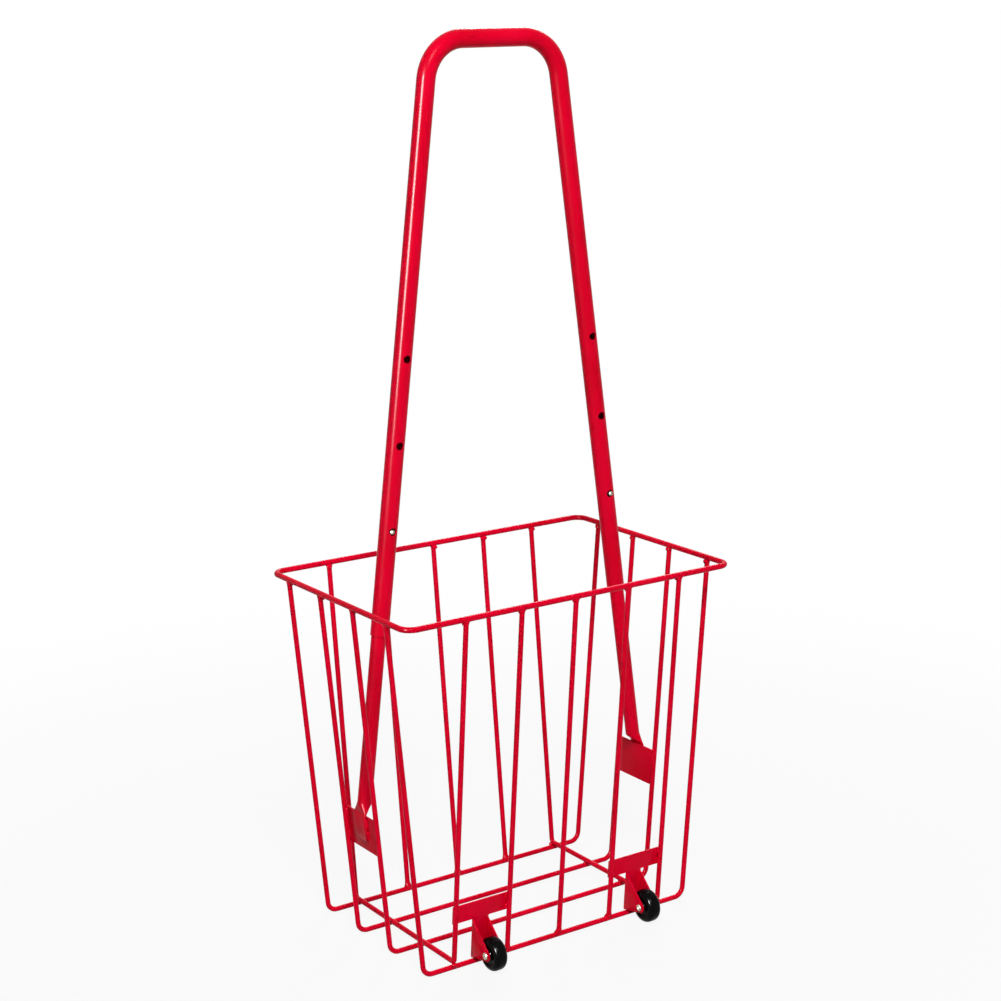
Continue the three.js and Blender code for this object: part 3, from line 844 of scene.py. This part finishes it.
def make_wheels():
    for side, sign in SIDES:
        axle = Vector((sign * WHEEL_X, AXLE_Y, AXLE_Z))
        skin = Skin()
        turned(skin, wheel_outline(), axle, WHEEL_SIDES)
        name = f"wheel_{side}"
        skin.piece(f"{name}_moulded", BLACK, name, [name], WHEEL_SHARP_ANGLE)

        inner, outer = RIVET_ROLLED_END, RIVET_HEAD
        if sign < 0:
            inner, outer = outer, inner
        start = [(-along, radius) for along, radius in rivet_end(inner)][::-1]
        skin = Skin()
        turned(skin, start + rivet_end(outer), axle, RIVET_SIDES)
        skin.piece(f"wheel_rivet_{side}_plated", ZINC, "basket", [f"wheel_rivet_{side}"])


make_wheels()


# Handle: two halves, each from the middle of the top bar down one leg, worked out on the right side
LEG_DOWN = Vector((LEG_RIM_X - HANDLE_TOP_HALF, 0, RIM_Z - HANDLE_Z)).normalized()
LEG_OUT = Vector((-LEG_DOWN.z, 0, LEG_DOWN.x))
BEND_TANGENT = HANDLE_BEND_R * math.tan((math.pi / 2 - math.asin(LEG_DOWN.x)) / 2)
LEG_TOP = Vector((HANDLE_TOP_HALF, 0, HANDLE_Z)) + LEG_DOWN * BEND_TANGENT
HANDLE_BEND_STEPS = 16
STATION_SPACING = 20 * MM
LEG_END_SHARES = (0.35, 0.7)
TUBE_LIP = 0.25 * MM
PATCH = 8  # steps along each side of the square of mesh round a hole
PATCH_HALF = 6.2 * MM
# The punched holes' rounded edges: depth and reach past the hole in mm, and steps on the way there as shares
HOLE_EDGE = [(0, 0.3, (0.4, 0.75, 1)), (0.08, 0.1, (1,)), (0.28, 0, (1,))]
HOLE_INNER_SHARES = (0.5, 1)


def mirrored(point, sign):
    return Vector((sign * point.x, point.y, point.z))


def along_leg(distance, out=0):
    return LEG_TOP + LEG_DOWN * distance + LEG_OUT * out


def tube_ring(point, side, radius, sign):
    made = []
    for i in range(TUBE_SIDES):
        angle = 2 * math.pi * i / TUBE_SIDES
        made.append(mirrored(point + radius * (math.cos(angle) * side + math.sin(angle) * Y_AXIS), sign))
    return made


def tube_half(skin, stations, sign, radius, holes):
    """One skin of the tube, and the square loops left open in it for the holes.

    stations are (point, tangent) of the right half, and holes are the stations where the patches start.
    """
    low = TUBE_SIDES * 3 // 4 - PATCH // 2
    grid = [skin.ring(tube_ring(point, Y_AXIS.cross(tangent), radius, sign)) for point, tangent in stations]
    for row in range(len(grid) - 1):
        in_patch = any(hole <= row < hole + PATCH for hole in holes)
        for i in range(TUBE_SIDES):
            if in_patch and low <= i < low + PATCH:
                continue
            j = (i + 1) % TUBE_SIDES
            skin.faces.append((grid[row][i], grid[row][j], grid[row + 1][j], grid[row + 1][i]))
    loops = []
    for hole in holes:
        loop = [grid[hole][low + i] for i in range(PATCH)]
        loop += [grid[hole + i][low + PATCH] for i in range(PATCH)]
        loop += [grid[hole + PATCH][low + PATCH - i] for i in range(PATCH)]
        loop += [grid[hole + PATCH - i][low] for i in range(PATCH)]
        loops.append(loop)
    return grid, loops


def patch_rings(skin, loop, centre, radius, hole_radius, sign, shares):
    """Rings from a loop in to the hole, kept on a tube of that radius. centre is on the tube's axis."""
    side = Y_AXIS.cross(LEG_DOWN)
    rings = [loop]
    flat = []
    for index in loop:
        offset = mirrored(skin.points[index], sign) - centre
        flat.append((offset.dot(side), offset.dot(LEG_DOWN)))
    for share in shares:
        ring = []
        for u, v in flat:
            size = math.hypot(u, v)
            a = u + (hole_radius * u / size - u) * share
            b = v + (hole_radius * v / size - v) * share
            depth = math.sqrt(max(0, radius ** 2 - a ** 2))
            ring.append(mirrored(centre + side * a + LEG_DOWN * b - Y_AXIS * depth, sign))
        rings.append(skin.ring(ring))
    skin.join(rings)
    return rings[-1]


def handle_stations(hole_places):
    """(point, tangent) pairs down the right half, and the indices where the patches for the holes start."""
    corner = Vector((HANDLE_TOP_HALF, 0, HANDLE_Z))
    line = [Vector((0, 0, HANDLE_Z)), corner, along_leg(LEG_LENGTH)]
    stations = bent_path(line, HANDLE_BEND_R, HANDLE_BEND_STEPS)[:-1]
    distance = 0
    depths = []
    starts = []
    for place in hole_places:
        gap = place - PATCH_HALF - distance
        count = max(1, round(gap / STATION_SPACING))
        depths += [distance + gap * i / count for i in range(1, count)]
        starts.append(len(stations) + len(depths))
        depths += [place - PATCH_HALF + 2 * PATCH_HALF * i / PATCH for i in range(PATCH + 1)]
        distance = place + PATCH_HALF
    depths += [distance + (LEG_LENGTH - distance) * share for share in LEG_END_SHARES]
    depths.append(LEG_LENGTH - TUBE_LIP)
    return stations + [(along_leg(depth), LEG_DOWN) for depth in depths], starts


def make_handle():
    hole_places = [LOW_HOLE - HOLE_PITCH * i for i in (2, 1, 0)]
    stations, starts = handle_stations(hole_places)
    for side, sign in SIDES:
        skin = Skin()
        outer, outer_loops = tube_half(skin, stations, sign, TUBE_R, starts)
        inner, inner_loops = tube_half(skin, stations, sign, BORE_R, starts)
        for place, edge, inner_edge in zip(hole_places, outer_loops, inner_loops):
            centre = along_leg(place)
            for depth, reach, shares in HOLE_EDGE:
                radius, hole_radius = TUBE_R - depth * MM, HOLE_R + reach * MM
                edge = patch_rings(skin, edge, centre, radius, hole_radius, sign, shares)
            inner_edge = patch_rings(skin, inner_edge, centre, BORE_R, HOLE_R, sign, HOLE_INNER_SHARES)
            skin.bridge(edge, inner_edge)
        lip_r = (TUBE_R + BORE_R) / 2
        lip = skin.ring(tube_ring(along_leg(LEG_LENGTH), Y_AXIS.cross(LEG_DOWN), lip_r, sign))
        skin.bridge(outer[-1], lip)
        skin.bridge(lip, inner[-1])
        skin.bridge(inner[0], outer[0])
        nodes = ["handle_grip", f"handle_leg_{side}"] if sign > 0 else [f"handle_leg_{side}"]
        made = skin.piece(f"handle_half_{side}", RED, None, nodes)
        fix_normals(made)
        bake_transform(made)


make_handle()


# Posts: round tubes, pinched flat at the foot and bent to lie on the outer faces of their plates
POST_SIDES = 32
POST_LIP = 0.3 * MM
PINCH_STEPS = 12
PINCH_LEAD = 3 * MM
TAB_OFFSET = TAB_THICK / 2 + GAP + SHEET - WIRE_R
TAB_OUT = Vector((SIDE_RISE.z, 0, -SIDE_RISE.x))
TAB_DENT_SHARE = 0.35
TAB_SQUARENESS = 0.55
TAB_END = [(8, 0), (0.5, 0), (0.1, 0.3)]  # (height over the tab's lower end, how much smaller) in mm
TAB_BEAD_HEIGHTS = [(1.5, 9.5), (13.5, 21.5)]  # from and to over the tab's lower end, in mm
TAB_BEAD_SINK_SHARE = 0.4  # of the tab's thickness, from its middle in to the beads
TAB_FOOT_BEAD_SHARES = (-0.85, 0.1)


def tab_point(z):
    return Vector((side_x(z) + TAB_OFFSET / SIDE_RISE.z, 0, z))


def post_ring(centre, down, half_width, half_thick, flat, sign):
    """A section of the post: round where flat is 0, a pinched tube with thicker folds where it is 1."""
    out = Vector((-down.z, 0, down.x))
    power = 1 - TAB_SQUARENESS * flat
    made = []
    for i in range(POST_SIDES):
        angle = 2 * math.pi * i / POST_SIDES
        across = math.copysign(abs(math.cos(angle)) ** power, math.cos(angle))
        thick = math.copysign(abs(math.sin(angle)) ** power, math.sin(angle))
        thick *= 1 - TAB_DENT_SHARE * flat * math.cos(across * math.pi / 2) ** 2
        made.append(mirrored(centre + Y_AXIS * half_width * across + out * half_thick * thick, sign))
    return made


def tab_beads(skin, sign):
    """Weld beads down both edges of the tab, and under part of its lower end."""
    out = mirrored(TAB_OUT, sign)
    sink = TAB_OUT * TAB_THICK * TAB_BEAD_SINK_SHARE
    for k, edge in enumerate((-1, 1)):
        for j, heights in enumerate(TAB_BEAD_HEIGHTS):
            feet = [tab_point(TAB_Z + height * MM) - sink for height in heights]
            ends = [mirrored(foot + Y_AXIS * edge * TAB_HALF_WIDTH, sign) for foot in feet]
            bead(skin, *ends, out, Y_AXIS * edge, BEAD_R, seed=2 * sign + k + 0.4 * j)
    foot = tab_point(TAB_Z) - sink
    ends = [mirrored(foot + Y_AXIS * share * TAB_HALF_WIDTH, sign) for share in TAB_FOOT_BEAD_SHARES]
    bead(skin, *ends, out, -SIDE_RISE, BEAD_R, seed=5 + sign)


def post_rings(skin, sign, pinch_along):
    """Rings of the post's outside, from its top end to the tab's lower end."""
    rings = []
    lip = [(POST_TOP, POST_R - POST_LIP), (POST_TOP + POST_LIP, POST_R)]
    for depth, size in lip + [(pinch_along - PINCH_LEAD, POST_R)]:
        centre = along_leg(depth, POST_SET)
        rings.append(skin.ring(post_ring(centre, LEG_DOWN, size, size, 0, sign)))
    start, end = along_leg(pinch_along, POST_SET), tab_point(PLATE_TOP_Z)
    for i in range(PINCH_STEPS + 1):
        share = i / PINCH_STEPS
        ease = share * share * (3 - 2 * share)
        down = LEG_DOWN.lerp(-SIDE_RISE, ease).normalized()
        half_width = POST_R + (TAB_HALF_WIDTH - POST_R) * ease
        half_thick = POST_R + (TAB_THICK / 2 - POST_R) * ease
        rings.append(skin.ring(post_ring(start.lerp(end, share), down, half_width, half_thick, ease, sign)))
    for height, shrink in TAB_END:
        size = (TAB_HALF_WIDTH - shrink * MM, TAB_THICK / 2 - shrink * MM)
        rings.append(skin.ring(post_ring(tab_point(TAB_Z + height * MM), -SIDE_RISE, *size, 1, sign)))
    skin.join(rings)
    return rings


def make_posts():
    pinch_along = (LEG_TOP.z - PLATE_TOP_Z - PINCH_LENGTH) / -LEG_DOWN.z
    for side, sign in SIDES:
        skin = Skin()
        rings = post_rings(skin, sign, pinch_along)
        skin.cap(rings[-1])
        bore = []
        for depth in (POST_TOP, pinch_along - TAB_THICK):
            centre = along_leg(depth, POST_SET)
            bore.append(skin.ring(post_ring(centre, LEG_DOWN, POST_BORE_R, POST_BORE_R, 0, sign)))
        skin.bridge(bore[0], rings[0])
        skin.bridge(bore[1], bore[0])
        skin.cap(bore[1])
        tab_beads(skin, sign)
        made = skin.piece(f"post_{side}_coated", POST_RED, None, [f"post_{side}"])
        fix_normals(made)
        flex = [mirrored(tab_point(z), sign) for z in (PLATE_TOP_Z, PLATE_TOP_Z + PINCH_LENGTH)]
        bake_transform(made)


make_posts()


# Snap buttons, narrower under their domes, and the V-shaped springs that carry them
BUTTON_SIDES = 24
BUTTON_SEAT = 0.3 * MM
DOME_R = BUTTON_R - 0.3 * MM
DOME_STEPS = 8
DOME_SINK = 0.4 * MM  # how far the dome starts below the tube's surface
DOME_RIM = 0.1 * MM
NECK_R = 1.5 * MM
NECK_SINK = 0.4 * MM  # how far the neck ends below the tube's bore
CLIP_REACH = math.sqrt(POST_BORE_R ** 2 - CLIP_HALF_WIDTH ** 2) - GAP
CLIP_BEND_R = 1.6 * MM
CLIP_BEND_STEPS = 8
CLIP_SHARP_ANGLE = 30


def make_button(side, sign):
    seat = CLIP_REACH - BUTTON_SEAT
    dome_from = TUBE_R - DOME_SINK
    outline = [(seat, 0), (seat, NECK_R), (BORE_R - NECK_SINK, NECK_R)]
    outline += [(dome_from - DOME_RIM, DOME_R), (dome_from, DOME_R)]
    for i in range(1, DOME_STEPS):
        angle = math.pi / 2 * i / DOME_STEPS
        outline.append((dome_from + (BUTTON_PROUD + DOME_SINK) * math.sin(angle), DOME_R * math.cos(angle)))
    outline.append((TUBE_R + BUTTON_PROUD, 0))
    skin = Skin()
    centre = mirrored(along_leg(LOW_HOLE, POST_SET), sign)
    turned(skin, outline, centre, BUTTON_SIDES, -Y_AXIS, X_AXIS)
    name = f"snap_button_{side}"
    fix_normals(skin.piece(f"{name}_plated", ZINC, name, [name]))


def make_spring(side, sign):
    down = mirrored(LEG_DOWN, sign)
    across = Y_AXIS.cross(down)
    top = mirrored(along_leg(LOW_HOLE - CLIP_ABOVE_BUTTON, POST_SET), sign)
    arm = CLIP_LENGTH - CLIP_BEND_R
    line = [(-CLIP_REACH + CLIP_THICK / 2, 0), (-CLIP_BEND_R, arm)]
    for i in range(1, CLIP_BEND_STEPS):
        angle = math.pi * i / CLIP_BEND_STEPS
        line.append((-CLIP_BEND_R * math.cos(angle), arm + CLIP_BEND_R * math.sin(angle)))
    line += [(CLIP_BEND_R, arm), (CLIP_REACH - CLIP_THICK / 2, 0)]
    skin = Skin()
    rings = []
    for i, (u, v) in enumerate(line):
        before = Vector(line[max(i - 1, 0)])
        after = Vector(line[min(i + 1, len(line) - 1)])
        run = (after - before).normalized()
        edge = Vector((-run.y, run.x)) * CLIP_THICK / 2
        ring = []
        for width, thick in ((-1, -1), (1, -1), (1, 1), (-1, 1)):
            a, b = u + edge.x * thick, v + edge.y * thick
            ring.append(top + Y_AXIS * a + down * b + across * CLIP_HALF_WIDTH * width)
        rings.append(skin.ring(ring))
    skin.join(rings)
    skin.cap(rings[0])
    skin.cap(rings[-1])
    made = skin.piece(f"snap_spring_{side}", ZINC, f"post_{side}", (), CLIP_SHARP_ANGLE)
    fix_normals(made)
    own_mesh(made)


for side_name, side_sign in SIDES:
    make_button(side_name, side_sign)
    make_spring(side_name, side_sign)


# Floor, light and camera
FLOOR_REACH = 30
FLOOR_DROP = -0.2 * MM
FLOOR_COLOUR = (0.5, 0.5, 0.5, 1)
WHITE = (1, 1, 1, 1)
FLOOR_FADE = {"From_Min": 0.35, "From_Max": 1.3, "To_Min": 0.9, "To_Max": 1}
AMBIENT_STRENGTH = 0.16
BACKDROP_STRENGTH = 1
AIM_Z = 0.4
KEY_PLACE = (-1.2, -2.15, 2.7)
STRIP_PLACE = (-1.95, -0.8, 0.99)
BACK_PLACE = (1.9, 1.8, 2.2)

CAMERA_AZIMUTH = math.radians(-34.109)
CAMERA_ELEVATION = math.radians(13.458)
CAMERA_ROLL = math.radians(-0.885)
CAMERA_DISTANCE = 2.00312
CAMERA_TARGET = Vector((0.00038, 0, 0.4173))
CAMERA_LENS = 75.3
CAMERA_SENSOR = 36


def seen_directly(nodes, links):
    """1 for camera, glossy and transmission rays, 0 for the diffuse ones."""
    paths = nodes.new("ShaderNodeLightPath")
    seen = paths.outputs["Is Camera Ray"]
    for kind in ("Is Glossy Ray", "Is Transmission Ray"):
        either = nodes.new("ShaderNodeMath")
        either.operation = "MAXIMUM"
        links.new(seen, either.inputs[0])
        links.new(paths.outputs[kind], either.inputs[1])
        seen = either.outputs["Value"]
    return seen


def pale_floor():
    """A matt floor that is seen directly as a glow, a little greyer under the object."""
    paint = Paint("pale_floor")
    nodes, links = paint.nodes, paint.links
    nodes.remove(paint.shader)
    matt = nodes.new("ShaderNodeBsdfDiffuse")
    matt.inputs["Color"].default_value = FLOOR_COLOUR
    glow = nodes.new("ShaderNodeEmission")
    glow.inputs["Color"].default_value = WHITE
    length = nodes.new("ShaderNodeVectorMath")
    length.operation = "LENGTH"
    links.new(paint.place, length.inputs[0])
    fade = nodes.new("ShaderNodeMapRange")
    fade.interpolation_type = "SMOOTHSTEP"
    set_inputs(fade, **FLOOR_FADE)
    links.new(length.outputs["Value"], fade.inputs["Value"])
    seen = nodes.new("ShaderNodeMath")
    seen.operation = "MULTIPLY"
    links.new(seen_directly(nodes, links), seen.inputs[0])
    links.new(fade.outputs["Result"], seen.inputs[1])
    mix = nodes.new("ShaderNodeMixShader")
    links.new(seen.outputs["Value"], mix.inputs["Fac"])
    links.new(matt.outputs["BSDF"], mix.inputs[1])
    links.new(glow.outputs["Emission"], mix.inputs[2])
    links.new(mix.outputs["Shader"], nodes["Material Output"].inputs["Surface"])
    return paint.material


def make_floor():
    mesh = bpy.data.meshes.new("floor")
    signs = ((-1, -1), (1, -1), (1, 1), (-1, 1))
    mesh.from_pydata([(a * FLOOR_REACH, b * FLOOR_REACH, FLOOR_DROP) for a, b in signs], [], [(0, 1, 2, 3)])
    mesh.materials.append(pale_floor())
    floor = bpy.data.objects.new("floor", mesh)
    bpy.context.scene.collection.objects.link(floor)


def make_world():
    world = bpy.data.worlds.new("studio")
    bpy.context.scene.world = world
    world.use_nodes = True
    nodes, links = world.node_tree.nodes, world.node_tree.links
    background = nodes["Background"]
    background.inputs["Color"].default_value = WHITE
    strength = nodes.new("ShaderNodeMapRange")
    set_inputs(strength, To_Min=AMBIENT_STRENGTH, To_Max=BACKDROP_STRENGTH)
    links.new(seen_directly(nodes, links), strength.inputs["Value"])
    links.new(strength.outputs["Result"], background.inputs["Strength"])


def area_light(name, place, target_z, size, power):
    light = bpy.data.lights.new(name, "AREA")
    light.shape = "RECTANGLE"
    light.size, light.size_y = size
    light.energy = power
    lamp = bpy.data.objects.new(name, light)
    lamp.location = place
    lamp.rotation_mode = "QUATERNION"
    lamp.rotation_quaternion = (Z_AXIS * target_z - Vector(place)).to_track_quat("-Z", "Y")
    bpy.context.scene.collection.objects.link(lamp)
    return lamp


def make_camera():
    camera_data = bpy.data.cameras.new("camera")
    camera_data.sensor_width = CAMERA_SENSOR
    camera_data.lens = CAMERA_LENS
    camera = bpy.data.objects.new("camera", camera_data)
    flat, lift = math.cos(CAMERA_ELEVATION), math.sin(CAMERA_ELEVATION)
    back = Vector((math.sin(CAMERA_AZIMUTH) * flat, -math.cos(CAMERA_AZIMUTH) * flat, lift))
    level = Z_AXIS.cross(back).normalized()
    up = back.cross(level)
    right = math.cos(CAMERA_ROLL) * level + math.sin(CAMERA_ROLL) * up
    camera.matrix_world = Matrix((right, back.cross(right), back)).transposed().to_4x4()
    camera.location = CAMERA_TARGET + back * CAMERA_DISTANCE
    bpy.context.scene.collection.objects.link(camera)
    bpy.context.scene.camera = camera


make_floor()
make_world()
area_light("key", KEY_PLACE, AIM_Z, size=(0.9, 0.9), power=108)
strip = area_light("strip", STRIP_PLACE, STRIP_PLACE[2], size=(0.5, 0.8), power=470)
strip.visible_diffuse = False
area_light("back", BACK_PLACE, AIM_Z, size=(1.4, 1), power=60)
make_camera()
bpy.context.scene.view_settings.view_transform = "Standard"
